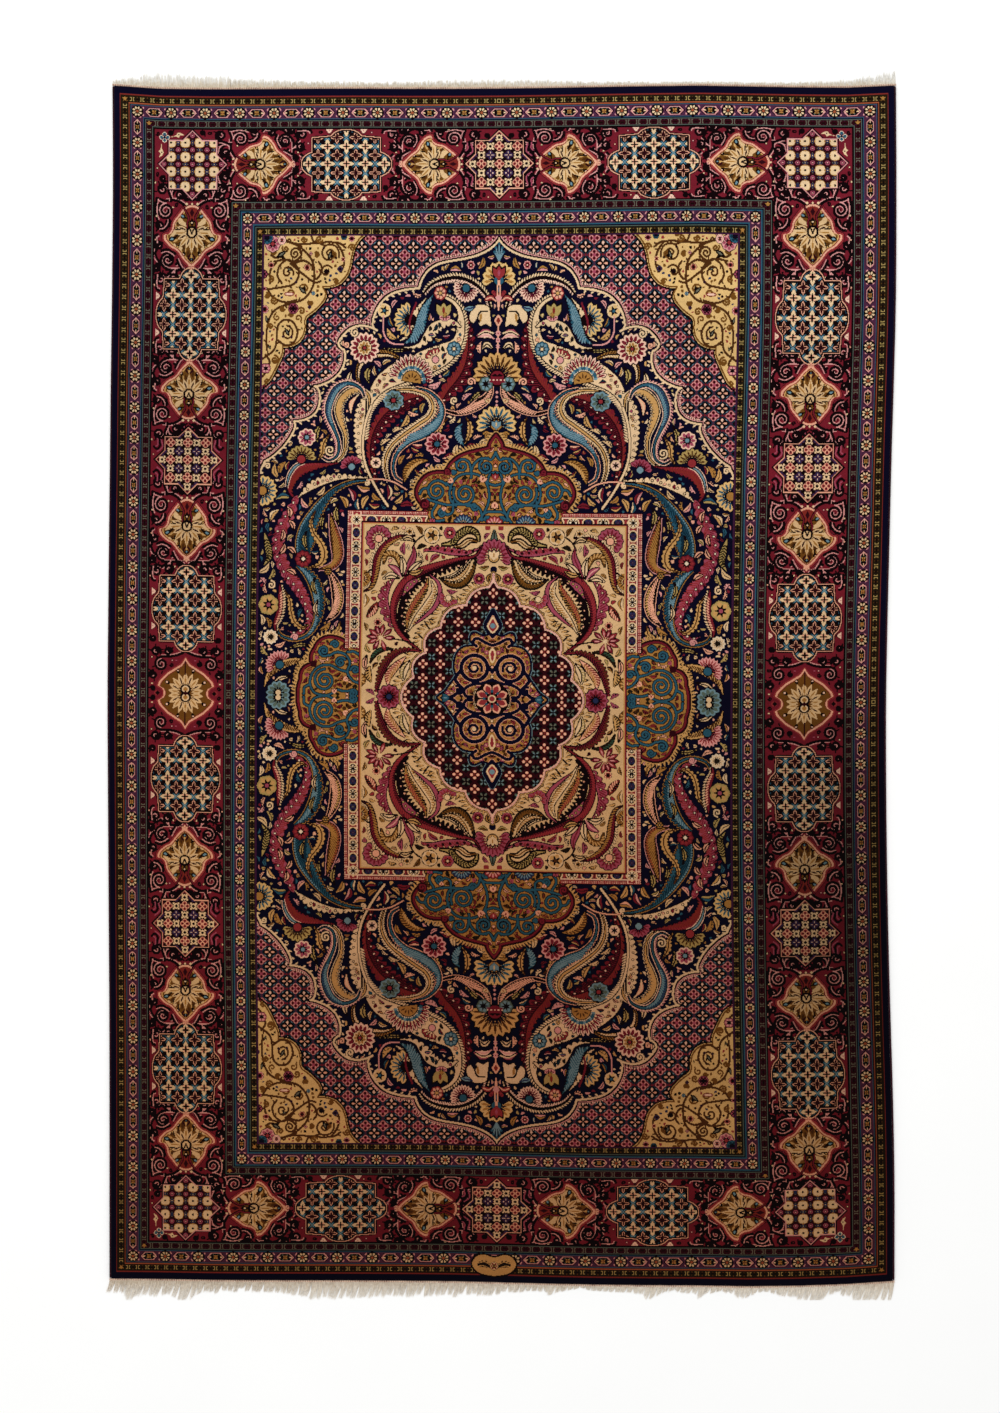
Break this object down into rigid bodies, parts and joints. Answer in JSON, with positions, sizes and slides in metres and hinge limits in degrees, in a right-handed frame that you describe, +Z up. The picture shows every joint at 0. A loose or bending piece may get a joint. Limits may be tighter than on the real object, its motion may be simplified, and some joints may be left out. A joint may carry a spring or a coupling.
{
  "type": "persian rug",
  "caption": "Flat hand-knotted wool rug of room size with bordered medallion pattern, overcast sides and a cotton warp fringe at both ends.",
  "frame": {"origin": "middle of the rug's outline, on the floor under its flat underside", "axes": "+Y along the rug's length, towards the end at the top of the picture; +X across its width; +Z up, out of the pile"},
  "size_m": [2.414, 3.7468, 0.009],
  "materials": {
    "wool_pile": "knotted wool pile in navy, crimson, ivory and gold, matt with a soft sheen",
    "side_cord": "overcast crimson wool, matt",
    "end_strip": "plain-woven cotton with pinkish stitching, matt",
    "fringe": "twisted undyed cotton, matt"
  },
  "bodies": {
    "root": {"rug_pile": "wool_pile", "side_cord_left": "side_cord", "side_cord_right": "side_cord", "end_strip_lower": "end_strip", "end_strip_upper": "end_strip", "fringe_lower": "fringe", "fringe_upper": "fringe"}
  },
  "joints": []
}
